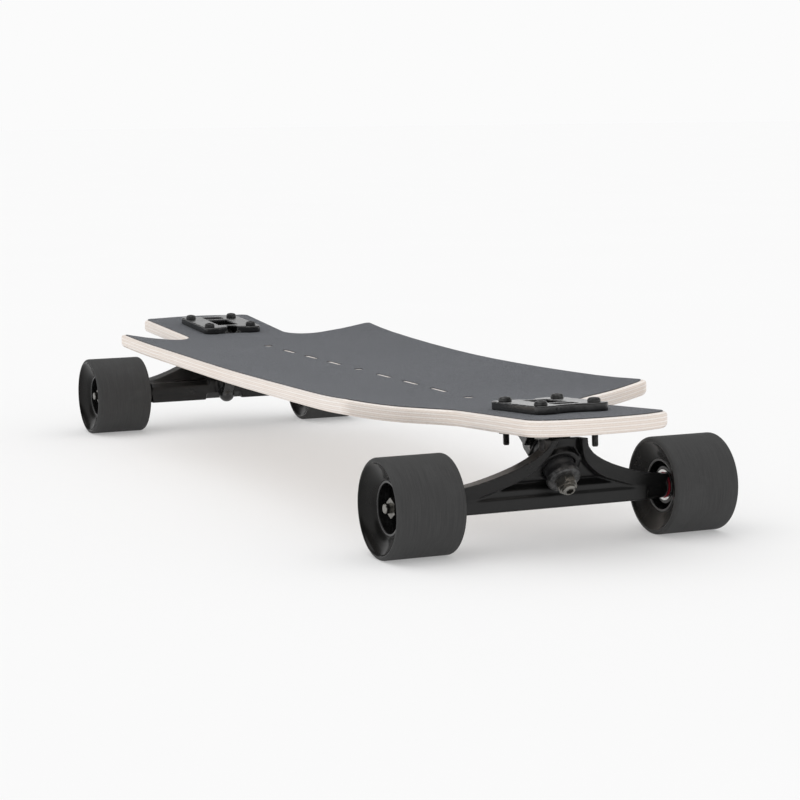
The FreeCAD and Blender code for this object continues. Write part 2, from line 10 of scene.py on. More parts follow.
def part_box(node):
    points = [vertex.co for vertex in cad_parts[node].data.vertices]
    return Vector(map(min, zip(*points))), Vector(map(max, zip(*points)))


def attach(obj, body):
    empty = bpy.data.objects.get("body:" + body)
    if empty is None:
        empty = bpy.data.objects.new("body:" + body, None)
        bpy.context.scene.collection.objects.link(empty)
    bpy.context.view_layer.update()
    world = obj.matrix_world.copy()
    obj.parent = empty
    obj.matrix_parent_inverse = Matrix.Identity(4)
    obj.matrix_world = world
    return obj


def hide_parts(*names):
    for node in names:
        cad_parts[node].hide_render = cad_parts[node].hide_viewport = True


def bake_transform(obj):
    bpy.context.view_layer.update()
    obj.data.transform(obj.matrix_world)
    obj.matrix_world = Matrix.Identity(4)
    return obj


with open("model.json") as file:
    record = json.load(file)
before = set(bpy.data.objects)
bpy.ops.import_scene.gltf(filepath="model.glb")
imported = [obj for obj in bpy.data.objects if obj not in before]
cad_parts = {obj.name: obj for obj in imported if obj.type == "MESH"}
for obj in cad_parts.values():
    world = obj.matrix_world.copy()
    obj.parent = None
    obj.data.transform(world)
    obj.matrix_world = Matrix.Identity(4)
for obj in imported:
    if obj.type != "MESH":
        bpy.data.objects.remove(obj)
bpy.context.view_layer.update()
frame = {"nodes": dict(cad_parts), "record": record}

RECORD = frame["record"]
JOINTS = {joint["name"]: joint for joint in RECORD["behaviour"]["joints"]}
ENDS = {"front": 1, "rear": -1}
SIDES = {"left": 1, "right": -1}

# Everything is in metres, in the row frame: +X to the board's front, +Y to its left, +Z up.
MM = 0.001

# The deck
DECK_HIGH = Vector(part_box("deck")[1])
WHEELBASE = 2 * abs(JOINTS["front_left_spin"]["pos_m"][0])
TRUCK_TILT = math.radians(3.57)
GRIP_THICK, DECK_THICK, PLIES = 0.6 * MM, 11.2 * MM, 8
MID_TOP = 88.5 * MM
RAMP_START, RAMP_END = 190 * MM, 300 * MM
WAIST_HALF, WING_X, WING_HALF = 115 * MM, 257 * MM, 124 * MM
EDGE_RISE_MID, EDGE_RISE_WING, EDGE_RISE_POWER, FLAT_HALF = 5.9 * MM, 5.5 * MM, 1.7, 30 * MM
NECK_X, NECK_HALF, NECK_FILLET = 296 * MM, 51 * MM, 28 * MM
TAIL_HALF, TAIL_CORNER, TAIL_BULGE = 55 * MM, 12 * MM, 7 * MM
TAIL_X = DECK_HIGH.x - TAIL_BULGE
EDGE_ROUND = 3.2 * MM
CUTOUT_WIDE, CUTOUT_NARROW, CUTOUT_CORNER = 18.5 * MM, 14.5 * MM, 3 * MM
CUTOUT_ENDS = (-34 * MM, -18 * MM, 21 * MM, 28 * MM)
CUTOUT_HEIGHT = 55 * MM      # of the deck above the axle, where the truck's tilt shifts the cut-out

# The trucks. Distances along a kingpin are from the middle of the hanger's ring.
AXLE_Z = JOINTS["front_left_spin"]["pos_m"][2]
BUSH_BORE_R, BUSH_R, BUSH_WAIST_R = 5.0 * MM, 11.4 * MM, 10.6 * MM
BUSH_CORNER = 0.9 * MM
WEB_HALF, BOARD_SEAT, ROAD_SEAT = 2.5 * MM, 16.5 * MM, 15.5 * MM
SCREW_R, SCREW_PITCH = 2.4 * MM, 0.8 * MM
SCREW_HEAD_R, SCREW_HEAD_H = 4.7 * MM, 3.1 * MM
SOCKET_FLATS, SOCKET_DEPTH = 3.2 * MM, 1.8 * MM

# The wheels
WHEEL_R = AXLE_Z
LIP_R, SHOULDER = 31.4 * MM, 2.6 * MM
CORE_WALL, HUB_R, HUB_BORE_R = 2.4 * MM, 13.4 * MM, 9.5 * MM
BEARING_R, BEARING_W = 11.0 * MM, 7.0 * MM
SPOKES, SPOKE_HALF = 5, 2.4 * MM
SEAL_INNER_R, SEAL_OUTER_R, SEAL_T = 6.55 * MM, 9.3 * MM, 0.6 * MM


# ---------------------------------------------------------------- materials

class Paint:
    """A Principled material, with short ways of adding procedural detail to it."""

    def __init__(self, name, roughness, **inputs):
        self.material = bpy.data.materials.new(name)
        self.material.use_nodes = True
        self.tree = self.material.node_tree
        self.shader = self.tree.nodes["Principled BSDF"]
        self.shader.inputs["Roughness"].default_value = roughness
        for key, value in inputs.items():
            self.shader.inputs[key.replace("_", " ")].default_value = value

    def add(self, kind, **values):
        node = self.tree.nodes.new(kind)
        for key, value in values.items():
            setattr(node, key, value)
        return node

    def link(self, output, target):
        self.tree.links.new(output, target)

    def place(self, stretch=(1, 1, 1)):
        """Coordinates fixed to the piece, in metres times stretch."""
        source = self.add("ShaderNodeTexCoord")
        mapping = self.add("ShaderNodeMapping")
        mapping.inputs["Scale"].default_value = stretch
        self.link(source.outputs["Object"], mapping.inputs["Vector"])
        return mapping.outputs["Vector"]

    def noise(self, scale, detail=3.0, rough=0.55, stretch=(1, 1, 1), distortion=0.0):
        node = self.add("ShaderNodeTexNoise")
        node.inputs["Scale"].default_value = scale
        node.inputs["Detail"].default_value = detail
        node.inputs["Roughness"].default_value = rough
        node.inputs["Distortion"].default_value = distortion
        self.link(self.place(stretch), node.inputs["Vector"])
        return node.outputs["Fac"]

    def cells(self, scale):
        node = self.add("ShaderNodeTexVoronoi")
        node.inputs["Scale"].default_value = scale
        self.link(self.place(), node.inputs["Vector"])
        return node

    def attribute(self, name):
        return self.add("ShaderNodeAttribute", attribute_name=name).outputs["Fac"]

    def ramp(self, factor, *stops):
        """A colour band over factor. A stop is (position, grey or colour)."""
        node = self.add("ShaderNodeValToRGB")
        elements = node.color_ramp.elements
        while len(elements) < len(stops):
            elements.new(0.5)
        for element, (position, colour) in zip(elements, stops):
            element.position = position
            element.color = grey(colour)
        self.link(factor, node.inputs["Fac"])
        return node.outputs["Color"]

    def maths(self, operation, a, b=None):
        node = self.add("ShaderNodeMath", operation=operation)
        for socket, value in zip(node.inputs, (a, b)):
            if isinstance(value, bpy.types.NodeSocket):
                self.link(value, socket)
            elif value is not None:
                socket.default_value = value
        return node.outputs["Value"]

    def mix(self, factor, a, b):
        node = self.add("ShaderNodeMix", data_type="RGBA")
        for socket, value in ((node.inputs["Factor"], factor), (node.inputs[6], a), (node.inputs[7], b)):
            if isinstance(value, bpy.types.NodeSocket):
                self.link(value, socket)
            elif socket == node.inputs["Factor"]:
                socket.default_value = value
            else:
                socket.default_value = grey(value)
        return node.outputs[2]

    def colour(self, value):
        if isinstance(value, bpy.types.NodeSocket):
            self.link(value, self.shader.inputs["Base Color"])
        else:
            self.shader.inputs["Base Color"].default_value = grey(value)

    def roughness(self, factor, low, high):
        """Roughness that varies between low and high with factor."""
        node = self.add("ShaderNodeMapRange")
        self.link(factor, node.inputs["Value"])
        node.inputs["To Min"].default_value = low
        node.inputs["To Max"].default_value = high
        self.link(node.outputs["Result"], self.shader.inputs["Roughness"])

    def bump(self, height, depth, strength=1.0):
        """Relief of that depth in metres, on top of any relief added before."""
        node = self.add("ShaderNodeBump")
        node.inputs["Strength"].default_value = strength
        node.inputs["Distance"].default_value = depth
        self.link(height, node.inputs["Height"])
        target = self.shader.inputs["Normal"]
        if target.is_linked:
            self.link(target.links[0].from_socket, node.inputs["Normal"])
        self.link(node.outputs["Normal"], target)


def grey(value):
    """A colour as four numbers, from one grey or three numbers."""
    if isinstance(value, (int, float)):
        return (value, value, value, 1)
    return tuple(value) + (1,) if len(value) == 3 else tuple(value)


def maple_paint():
    """Lacquered maple: long grain on the faces, and eight veneers with their glue lines round the edge."""
    paint = Paint("maple", 0.45, Coat_Weight=0.3, Coat_Roughness=0.25)
    depth = paint.maths("MULTIPLY", paint.attribute("depth"), PLIES)
    within = paint.maths("FRACT", depth)
    glue = paint.ramp(within, (0.0, 1.0), (0.09, 0.0), (0.91, 0.0), (1.0, 1.0))
    pair = paint.maths("FRACT", paint.maths("MULTIPLY", depth, 0.5))
    crosswise = paint.maths("GREATER_THAN", pair, 0.5)
    fibres = paint.noise(1.0, 4, 0.6, (38, 900, 1500), 0.4)
    pores = paint.noise(1.0, 2, 0.5, (160, 2400, 2400))
    bands = paint.noise(1.0, 3, 0.5, (2.2, 34, 60), 0.8)
    patches = paint.noise(7.0, 3, 0.5)
    long_grain = paint.ramp(fibres, (0.28, (0.78, 0.69, 0.62)), (0.5, (0.88, 0.82, 0.77)),
                            (0.72, (0.93, 0.89, 0.85)))
    end_grain = paint.ramp(fibres, (0.25, (0.72, 0.61, 0.53)), (0.75, (0.87, 0.79, 0.72)))
    wood = paint.mix(crosswise, long_grain, end_grain)
    wood = paint.mix(paint.ramp(bands, (0.40, 0.0), (0.66, 0.35)), wood, (0.82, 0.70, 0.61))
    wood = paint.mix(paint.ramp(patches, (0.42, 0.0), (0.70, 0.40)), wood, (0.92, 0.87, 0.83))
    edge = paint.attribute("edge")
    wood = paint.mix(paint.maths("MULTIPLY", glue, edge), wood, (0.50, 0.38, 0.30))
    wood = paint.mix(paint.ramp(pores, (0.60, 0.0), (0.74, 0.18)), wood, (0.52, 0.40, 0.32))
    paint.colour(wood)
    paint.roughness(bands, 0.34, 0.5)
    paint.bump(fibres, 0.05 * MM, 0.5)
    paint.bump(glue, -0.05 * MM, 0.6)
    return paint.material


def grip_paint():
    """Black grit on cloth: sharp grains, the brightest few painted near white as glints, over faint wear
    and dust.
    """
    paint = Paint("grip", 0.92, Sheen_Weight=0.25, Sheen_Roughness=0.5)
    paint.shader.inputs["Sheen Tint"].default_value = (0.75, 0.8, 0.9, 1)
    grains = paint.cells(1500.0)
    fine = paint.noise(2600.0, 3, 0.7)
    worn = paint.noise(9.0, 5, 0.6)
    # The last stop paints the brightest few grains near white: painted glints, not the colour of the grit.
    tone = paint.ramp(grains.outputs["Color"], (0.15, (0.034, 0.035, 0.038)), (0.55, (0.062, 0.064, 0.068)),
                      (0.86, (0.12, 0.123, 0.13)), (0.97, (0.36, 0.365, 0.38)))
    tone = paint.mix(paint.ramp(fine, (0.35, 0.0), (0.7, 0.5)), tone, (0.042, 0.043, 0.046))
    tone = paint.mix(paint.ramp(worn, (0.45, 0.0), (0.75, 0.22)), tone, (0.12, 0.122, 0.127))
    paint.colour(tone)
    paint.roughness(grains.outputs["Distance"], 0.75, 0.98)
    paint.bump(fine, 0.22 * MM, 0.7)
    paint.bump(grains.outputs["Distance"], -0.5 * MM, 0.9)
    return paint.material


def cast_paint(name, gloss, rough):
    """Black powder coat on a casting: soft orange peel and a little uneven gloss."""
    paint = Paint(name, rough, Specular_IOR_Level=gloss)
    peel = paint.noise(620.0, 2, 0.5)
    cloud = paint.noise(45.0, 4, 0.6)
    dust = paint.noise(2100.0, 2, 0.5)
    paint.colour(paint.mix(paint.ramp(dust, (0.66, 0.0), (0.8, 0.35)),
                           paint.ramp(cloud, (0.3, 0.004), (0.7, 0.008)), 0.03))
    paint.roughness(cloud, rough * 0.75, rough * 1.25)
    paint.bump(peel, 0.05 * MM, 0.5)
    paint.bump(cloud, 0.12 * MM, 0.25)
    return paint.material


def tread_paint():
    """Ground urethane: matt, with fine grinding lines round the wheel and scuffs."""
    paint = Paint("wheel_tread", 0.72, Specular_IOR_Level=0.3)
    lines = paint.noise(1.0, 3, 0.6, (60, 2600, 60))
    specks = paint.noise(900.0, 3, 0.6)
    scuffs = paint.noise(38.0, 5, 0.65, distortion=0.6)
    tone = paint.ramp(lines, (0.3, 0.036), (0.7, 0.052))
    tone = paint.mix(paint.ramp(scuffs, (0.52, 0.0), (0.74, 0.4)), tone, 0.068)
    tone = paint.mix(paint.ramp(specks, (0.62, 0.0), (0.75, 0.3)), tone, 0.09)
    paint.colour(tone)
    paint.roughness(scuffs, 0.62, 0.86)
    paint.bump(lines, 0.05 * MM, 0.6)
    paint.bump(specks, 0.07 * MM, 0.5)
    return paint.material


def face_paint():
    """Moulded urethane as it leaves the mould: dark and glossy, faintly rippled."""
    paint = Paint("wheel_face", 0.16, Specular_IOR_Level=0.16)
    ripple = paint.noise(70.0, 3, 0.5)
    specks = paint.noise(1400.0, 2, 0.5)
    paint.colour(paint.mix(paint.ramp(specks, (0.64, 0.0), (0.78, 0.3)),
                           paint.ramp(ripple, (0.3, (0.004, 0.004, 0.0038)),
                                      (0.7, (0.009, 0.0083, 0.0076))), 0.03))
    paint.roughness(ripple, 0.12, 0.26)
    paint.bump(ripple, 0.15 * MM, 0.2)
    return paint.material


def core_paint():
    """Glossy black nylon with flow marks."""
    paint = Paint("core", 0.14, Specular_IOR_Level=0.45)
    flow = paint.noise(1.0, 3, 0.5, (90, 30, 90), 0.7)
    paint.colour(paint.ramp(flow, (0.3, 0.005), (0.7, 0.010)))
    paint.roughness(flow, 0.1, 0.24)
    paint.bump(flow, 0.06 * MM, 0.2)
    return paint.material


def metal_paint(name, tone, tint, rough, lines):
    """Plated or ground steel: turned lines, stains and a little uneven gloss. lines stretches the marks."""
    paint = Paint(name, rough, Metallic=1.0)
    marks = paint.noise(1.0, 3, 0.6, lines)
    stains = paint.noise(160.0, 4, 0.6)
    light = tuple(tone * c for c in tint)
    dark = tuple(tone * 0.55 * c for c in tint)
    colour = paint.mix(paint.ramp(stains, (0.45, 0.0), (0.75, 0.6)), light, dark)
    paint.colour(paint.mix(paint.ramp(marks, (0.35, 0.0), (0.7, 0.3)), colour, dark))
    paint.roughness(stains, rough * 0.75, min(1.0, rough * 1.5))
    paint.bump(marks, 0.02 * MM, 0.4)
    return paint.material


def oxide_paint(name, tone, rough):
    """Black oxide on steel, rubbed brighter in places."""
    paint = Paint(name, rough, Metallic=0.6)
    rubbed = paint.noise(260.0, 4, 0.65)
    grain = paint.noise(1800.0, 2, 0.5)
    paint.colour(paint.ramp(rubbed, (0.4, tone), (0.78, tone * 4 + 0.02)))
    paint.roughness(grain, rough * 0.8, rough * 1.3)
    paint.bump(grain, 0.02 * MM, 0.4)
    return paint.material


def rubber_paint(name, colour, rough, grain_depth):
    """Moulded rubber or soft plastic in one colour, with a fine grain and slight bloom."""
    paint = Paint(name, rough)
    grain = paint.noise(1500.0, 3, 0.6)
    bloom = paint.noise(120.0, 4, 0.6)
    pale = tuple(min(1.0, c * 1.35 + 0.01) for c in colour)
    paint.colour(paint.mix(paint.ramp(bloom, (0.42, 0.0), (0.76, 0.7)), colour, pale))
    paint.roughness(bloom, rough * 0.85, min(1.0, rough * 1.2))
    paint.bump(grain, grain_depth, 0.5)
    return paint.material


PAINTS = {
    "maple": maple_paint(),
    "grip": grip_paint(),
    "cast_black": cast_paint("cast_black", 0.36, 0.30),
    "wheel_urethane": tread_paint(),
    "core_plastic": core_paint(),
    "plated_steel": metal_paint("plated_steel", 0.24, (1.0, 0.97, 0.90), 0.26, (700, 700, 90)),
    "dark_steel": oxide_paint("dark_steel", 0.03, 0.35),
    "black_screw": oxide_paint("black_screw", 0.02, 0.3),
    "bearing_steel": metal_paint("bearing_steel", 0.78, (1.0, 1.0, 1.0), 0.16, (900, 300, 900)),
    "aluminium_spacer": metal_paint("aluminium_spacer", 0.8, (1.0, 1.0, 1.02), 0.28, (900, 300, 900)),
    "seal_red": rubber_paint("seal_red", (0.36, 0.018, 0.035), 0.42, 0.02 * MM),
    "bushing_urethane": rubber_paint("bushing_urethane", (0.018, 0.018, 0.019), 0.38, 0.03 * MM),
    "cup_plastic": rubber_paint("cup_plastic", (0.03, 0.03, 0.03), 0.5, 0.03 * MM),
}
FACE = face_paint()
BASEPLATE = cast_paint("baseplate_black", 0.75, 0.20)
# Near-black rubber, used for the seals on the outer side of each wheel.
BLACK_SEAL = rubber_paint("seal_black", (0.012, 0.012, 0.012), 0.4, 0.02 * MM)
SLOTS = {part["node"]: part["material_slot"] for part in RECORD["subparts"]}


def paint_cad_nodes():
    for name, obj in frame["nodes"].items():
        obj.data.materials.clear()
        obj.data.materials.append(PAINTS[SLOTS[name]])


# ---------------------------------------------------------------- making pieces

def add_piece(name, mesh, paints, sharp_degrees=35.0):
    """A new object from a mesh, shaded smooth except at edges sharper than that."""
    mesh.name = name
    obj = bpy.data.objects.new(name, mesh)
    bpy.context.scene.collection.objects.link(obj)
    for paint in paints:
        mesh.materials.append(paint)
    mesh.shade_smooth()
    mesh.set_sharp_from_angle(angle=math.radians(sharp_degrees))
    return obj


def stand_for(piece, node, body):
    """The piece rides on that body and takes the CAD node's place."""
    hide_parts(node)
    if body:
        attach(piece, body)


def mesh_from(bm):
    bmesh.ops.remove_doubles(bm, verts=bm.verts, dist=1e-7)
    bmesh.ops.recalc_face_normals(bm, faces=bm.faces)
    mesh = bpy.data.meshes.new("mesh")
    bm.to_mesh(mesh)
    bm.free()
    return mesh


def loft(bm, rings, close=True, material=0):
    """Quads between rings of points, each ring the same length. close joins the last ring to the first."""
    made = [[bm.verts.new(p) for p in ring] for ring in rings]
    pairs = list(zip(made, made[1:] + made[:1])) if close else list(zip(made, made[1:]))
    for low, high in pairs:
        for i in range(len(low)):
            j = (i + 1) % len(low)
            face = bm.faces.new((low[i], low[j], high[j], high[i]))
            face.material_index = material
    return made


def basis(axis):
    """Two directions square to the axis and to each other."""
    axis = axis.normalized()
    side = Vector((0, 0, 1)) if abs(axis.z) < 0.9 else Vector((0, 1, 0))
    side = (side - axis * side.dot(axis)).normalized()
    return side, axis.cross(side)


def turned(bm, profile, centre, axis, segments=96, close=True, material=0):
    """A solid of revolution. profile is (distance along axis, radius) in metres."""
    side, other = basis(axis)
    rings = []
    for along, radius in profile:
        ring = []
        for i in range(segments):
            turn = 2 * math.pi * i / segments
            ring.append(centre + axis * along + (side * math.cos(turn) + other * math.sin(turn)) * radius)
        rings.append(ring)
    loft(bm, rings, close, material)


def rounded(points, radius, steps=4):
    """A closed profile with its corners rounded. points are (distance along the axis, radius)."""
    out = []
    count = len(points)
    for i, point in enumerate(points):
        here = Vector(point)
        before, after = Vector(points[i - 1]), Vector(points[(i + 1) % count])
        to_before, to_after = (before - here), (after - here)
        reach = min(radius, to_before.length * 0.45, to_after.length * 0.45)
        start, end = here + to_before.normalized() * reach, here + to_after.normalized() * reach
        for k in range(steps + 1):
            t = k / steps
            out.append(tuple(start * (1 - t) ** 2 + here * (2 * t * (1 - t)) + end * t ** 2))
    return out


# ---------------------------------------------------------------- deck

def arc_points(a, b, c, spacing):
    """Points from a to c on the circle through a, b and c, a first and c left out."""
    ax, ay, bx, by, cx, cy = *a, *b, *c
    d = 2 * (ax * (by - cy) + bx * (cy - ay) + cx * (ay - by))
    ux = ((ax**2 + ay**2) * (by - cy) + (bx**2 + by**2) * (cy - ay) + (cx**2 + cy**2) * (ay - by)) / d
    uy = ((ax**2 + ay**2) * (cx - bx) + (bx**2 + by**2) * (ax - cx) + (cx**2 + cy**2) * (bx - ax)) / d
    radius = math.hypot(ax - ux, ay - uy)
    start = math.atan2(ay - uy, ax - ux)
    middle = (math.atan2(by - uy, bx - ux) - start) % (2 * math.pi)
    sweep = (math.atan2(cy - uy, cx - ux) - start) % (2 * math.pi)
    if middle > sweep:
        sweep -= 2 * math.pi
    steps = max(6, math.ceil(radius * abs(sweep) / spacing))
    turns = [start + sweep * i / steps for i in range(steps)]
    return [(ux + radius * math.cos(turn), uy + radius * math.sin(turn)) for turn in turns]


def line_points(a, b, spacing):
    steps = max(1, math.ceil(math.dist(a, b) / spacing))
    return [(a[0] + (b[0] - a[0]) * i / steps, a[1] + (b[1] - a[1]) * i / steps) for i in range(steps)]


def deck_outline(spacing=2.5 * MM):
    """The board's plan outline, anticlockwise from the middle of the +X end."""
    diagonal = math.sqrt(0.5)
    nose = (TAIL_X + TAIL_BULGE, 0.0)
    tail_end = (TAIL_X, TAIL_HALF - TAIL_CORNER)
    tail_mid = (TAIL_X - TAIL_CORNER * (1 - diagonal), TAIL_HALF - TAIL_CORNER * (1 - diagonal))
    tail_side = (TAIL_X - TAIL_CORNER, TAIL_HALF)
    fillet_end = (NECK_X, NECK_HALF)
    fillet_mid = (NECK_X - NECK_FILLET * diagonal, NECK_HALF + NECK_FILLET * (1 - diagonal))
    fillet_start = (NECK_X - NECK_FILLET, NECK_HALF + NECK_FILLET)
    wing_back = (WING_X + 5.6 * MM, WING_HALF - 7.0 * MM)
    wing_tip = (WING_X + 3.6 * MM, WING_HALF - 2.0 * MM)
    wing_side = (WING_X - 1.5 * MM, WING_HALF - 0.2 * MM)
    waist = (0.0, WAIST_HALF)

    def flip(p, sx, sy):
        return (p[0] * sx, p[1] * sy)

    def to_wing(sx, sy):
        """From the end's corner to the wing, in one quarter."""
        q = [flip(p, sx, sy) for p in (tail_end, tail_mid, tail_side, fillet_end, fillet_mid, fillet_start,
                                       wing_back, wing_tip, wing_side)]
        points = arc_points(q[0], q[1], q[2], spacing / 2)
        points += line_points(q[2], q[3], spacing)
        points += arc_points(q[3], q[4], q[5], spacing)
        points += line_points(q[5], q[6], spacing)
        return points + arc_points(q[6], q[7], q[8], spacing / 3) + [q[8]]

    quarter = to_wing(1, 1)
    far = to_wing(-1, 1)[::-1]
    half = quarter[:-1] + arc_points(wing_side, waist, flip(wing_side, -1, 1), spacing) + far
    other = [(-x, -y) for x, y in half]
    end = arc_points(flip(tail_end, 1, -1), nose, tail_end, spacing)
    back = arc_points(flip(tail_end, -1, 1), flip(nose, -1, 1), flip(tail_end, -1, -1), spacing)
    return half + back[1:] + other + end[1:]


def moved_in(outline, inset):
    """The outline moved inwards by inset, square to its own line."""
    out = []
    count = len(outline)
    for i, (x, y) in enumerate(outline):
        ax, ay = outline[i - 1]
        bx, by = outline[(i + 1) % count]
        length = math.hypot(bx - ax, by - ay)
        out.append((x - (by - ay) / length * inset, y + (bx - ax) / length * inset))
    return out


def standing_height(x, y):
    """Height of the top of the grip: flat, then a ramp, with edges raised by the concave."""
    run, slope = abs(x), math.tan(TRUCK_TILT)
    bend = RAMP_END - RAMP_START
    height = MID_TOP
    if run > RAMP_END:
        height += bend * slope / 2 + (run - RAMP_END) * slope
    elif run > RAMP_START:
        height += (run - RAMP_START) ** 2 / bend * slope / 2
    reach = min(run, WING_X)
    half = WAIST_HALF + (WING_HALF - WAIST_HALF) * (reach / WING_X) ** 2
    rise = EDGE_RISE_MID + EDGE_RISE_WING * (reach / (250 * MM)) ** EDGE_RISE_POWER
    return height + rise * (max(0.0, abs(y) - FLAT_HALF) / (half - FLAT_HALF)) ** 2


def deck_holes():
    """The trucks' cut-outs through the deck, as plan outlines: a wide slot and a narrower one, joined."""
    wide, narrow, corner = CUTOUT_WIDE, CUTOUT_NARROW, CUTOUT_CORNER
    x0, x1, x2, x3 = CUTOUT_ENDS
    cross = [(x0 + corner, -narrow), (x1, -narrow), (x1, -wide), (x2, -wide), (x2, -narrow),
             (x3 - corner, -narrow), (x3, -narrow + corner), (x3, narrow - corner), (x3 - corner, narrow),
             (x2, narrow), (x2, wide), (x1, wide), (x1, narrow), (x0 + corner, narrow),
             (x0, narrow - corner), (x0, -narrow + corner)]
    middle = WHEELBASE / 2 - math.sin(TRUCK_TILT) * CUTOUT_HEIGHT
    return [[(end * (middle + x), end * y) for x, y in cross] for end in ENDS.values()]


def inside(point, outline):
    x, y = point
    hit = False
    for (ax, ay), (bx, by) in zip(outline, outline[1:] + outline[:1]):
        if (ay > y) != (by > y) and x < (bx - ax) * (y - ay) / (by - ay) + ax:
            hit = not hit
    return hit


def sheet_triangles(outline, holes, spacing):
    """Points and triangles that fill an outline around its holes."""
    points = [Vector(p) for p in outline]
    loops = [list(range(len(points)))]
    for hole in holes:
        loops.append(list(range(len(points), len(points) + len(hole))))
        points += [Vector(p) for p in hole]
    edges = [(loop[i], loop[(i + 1) % len(loop)]) for loop in loops for i in range(len(loop))]
    reach_x, reach_y = max(p[0] for p in outline), max(p[1] for p in outline)
    inner = moved_in(outline, spacing * 0.4)
    nx, ny = int(reach_x / spacing), int(reach_y / spacing)
    for i in range(-nx, nx + 1):
        for j in range(-ny, ny + 1):
            p = (i * spacing, j * spacing)
            if inside(p, inner) and not any(inside(p, hole) for hole in holes):
                points.append(Vector(p))
    verts, _, faces, *_ = delaunay_2d_cdt(points, edges, [], 0, 1e-6)
    keep = []
    for face in faces:
        middle = sum((verts[i] for i in face), Vector((0, 0))) / len(face)
        if inside(middle, outline) and not any(inside(middle, hole) for hole in holes):
            keep.append(face)
    return verts, keep


def make_deck():
    """The laminated board with rounded edges and cut-outs. Its points carry their depth in the plies."""
    outline = deck_outline()
    holes = deck_holes()
    bm = bmesh.new()
    depth_layer = bm.verts.layers.float.new("depth")
    edge_layer = bm.verts.layers.float.new("edge")

    def vert(x, y, depth, edge):
        v = bm.verts.new((x, y, standing_height(x, y) - GRIP_THICK - depth))
        v[depth_layer] = depth / DECK_THICK
        v[edge_layer] = edge
        return v

    steps = 5
    rings = []
    for k in range(steps + 1):
        turn = math.radians(90 * k / steps)
        rings.append((EDGE_ROUND * (1 - math.sin(turn)), EDGE_ROUND * (1 - math.cos(turn))))
    middle = [(0.0, EDGE_ROUND + (DECK_THICK - 2 * EDGE_ROUND) * k / 6) for k in range(1, 6)]
    rings += middle + [(inset, DECK_THICK - depth) for inset, depth in reversed(rings)]
    rows = []
    for inset, depth in rings:
        rows.append([vert(x, y, depth, 1.0) for x, y in moved_in(outline, inset)])
    for low, high in zip(rows, rows[1:]):
        for i in range(len(low)):
            j = (i + 1) % len(low)
            bm.faces.new((low[j], low[i], high[i], high[j]))
    for depth in (0.0, DECK_THICK):
        verts, faces = sheet_triangles(moved_in(outline, EDGE_ROUND), holes, 9 * MM)
        made = [vert(p.x, p.y, depth, 0.0) for p in verts]
        for face in faces:
            bm.faces.new([made[i] for i in face])
    for hole in holes:
        walls = [[vert(x, y, DECK_THICK * k / PLIES, 1.0) for x, y in hole] for k in range(PLIES + 1)]
        for low, high in zip(walls, walls[1:]):
            for i in range(len(low)):
                j = (i + 1) % len(low)
                bm.faces.new((low[i], low[j], high[j], high[i]))
    bmesh.ops.remove_doubles(bm, verts=bm.verts, dist=1e-6)
    bmesh.ops.recalc_face_normals(bm, faces=bm.faces)
    mesh = bpy.data.meshes.new("deck")
    bm.to_mesh(mesh)
    bm.free()
    deck = add_piece("laminated_deck", mesh, [PAINTS["maple"]], 50)
    stand_for(deck, "deck", "board")


# ---------------------------------------------------------------- castings

def softened_casting(node, name, body, paint, voxel, smoothing):
    """The CAD casting with every edge rounded, as a sand or die casting has."""
    source = frame["nodes"][node]
    bm = bmesh.new()
    bm.from_mesh(source.data)
    bmesh.ops.remove_doubles(bm, verts=bm.verts, dist=1e-6)
    mesh = bpy.data.meshes.new(name + "_raw")
    bm.to_mesh(mesh)
    bm.free()
    raw = bpy.data.objects.new(name + "_raw", mesh)
    bpy.context.scene.collection.objects.link(raw)
    remesh = raw.modifiers.new("remesh", "REMESH")
    remesh.mode = "VOXEL"
    remesh.voxel_size = voxel
    smooth = raw.modifiers.new("smooth", "SMOOTH")
    smooth.factor = 0.5
    smooth.iterations = smoothing
    thin = raw.modifiers.new("thin", "DECIMATE")
    thin.ratio = 0.4
    final = bpy.data.meshes.new_from_object(raw.evaluated_get(bpy.context.evaluated_depsgraph_get()))
    bpy.data.objects.remove(raw)
    final.materials.clear()
    piece = add_piece(name, final, [paint], 180)
    stand_for(piece, node, body)


def make_castings():
    for end in ENDS:
        softened_casting(f"{end}_hanger", f"{end}_hanger_casting", f"{end}_hanger", PAINTS["cast_black"],
                         0.8 * MM, 5)
        softened_casting(f"{end}_baseplate", f"{end}_baseplate_casting", "board", BASEPLATE, 0.7 * MM, 3)


# ---------------------------------------------------------------- wheels

def wheel_frame(end, side, node):
    """The wheel's centre on the board's middle plane, its outward axis and the node's reach along it."""
    low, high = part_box(node)
    hand = 1 if high[1] > 0 else -1
    near, far = sorted((abs(low[1]), abs(high[1])))
    centre = Vector((JOINTS[f"{end}_{side}_spin"]["pos_m"][0], 0, AXLE_Z))
    return centre, Vector((0, hand, 0)), near, far


